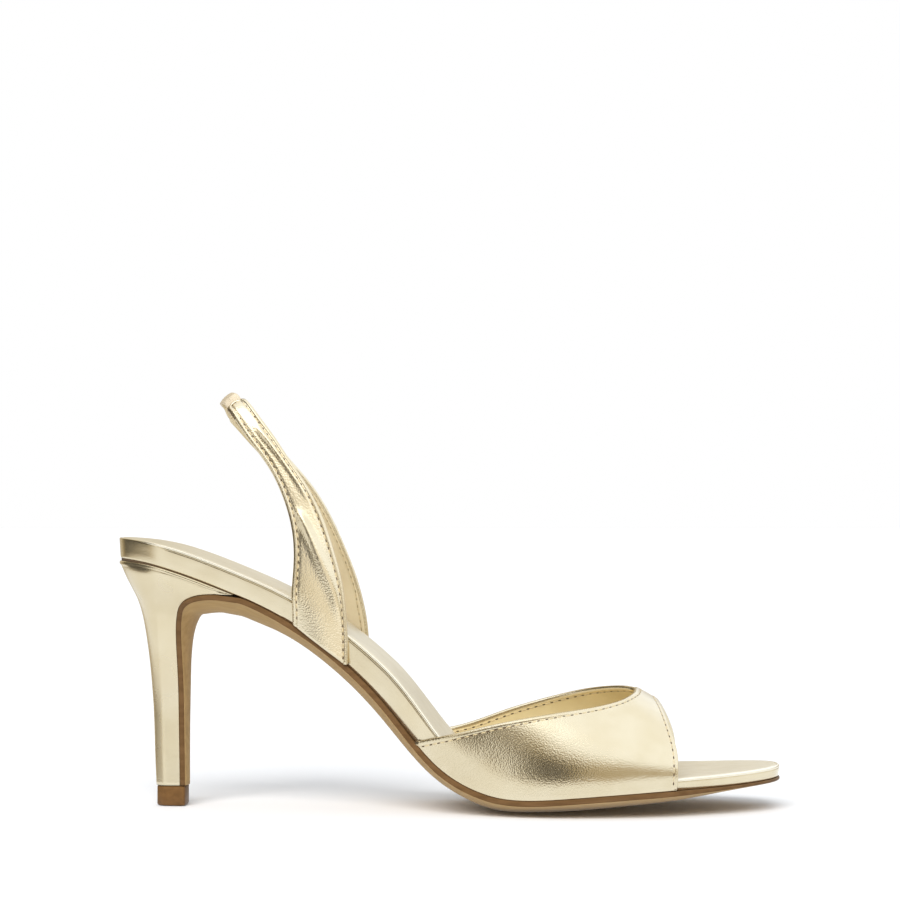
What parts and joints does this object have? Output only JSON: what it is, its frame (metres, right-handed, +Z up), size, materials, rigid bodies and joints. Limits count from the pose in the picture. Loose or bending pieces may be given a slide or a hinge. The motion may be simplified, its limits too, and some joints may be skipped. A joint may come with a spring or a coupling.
{
  "type": "slingback sandal",
  "caption": "Open-toe slingback sandal with a slim high heel, gold leather vamp and heel strap, and a thin brown sole.",
  "frame": {"origin": "on the floor under the middle of the shoe's length and width, as it stands", "axes": "+X towards the toe along the longest extent, +Y towards the medial side of this right shoe, +Z up"},
  "size_m": [0.2199, 0.0769, 0.1375],
  "materials": {
    "brown_outsole": "satin, tan with a dark edge",
    "gold_heel_wrap": "pale gold metallic",
    "brown_top_piece": "satin",
    "gold_insole_wrap": "pale gold metallic",
    "cream_gold_sock": "soft cream gold",
    "gold_leather": "pale gold metallic"
  },
  "bodies": {
    "root": {"outsole": "brown_outsole", "heel": "gold_heel_wrap", "top_piece": "brown_top_piece", "insole": "gold_insole_wrap", "sock": "cream_gold_sock", "vamp": "gold_leather", "strap_lateral": "gold_leather", "strap_medial": "gold_leather", "back_elastic": "gold_leather"}
  },
  "joints": []
}
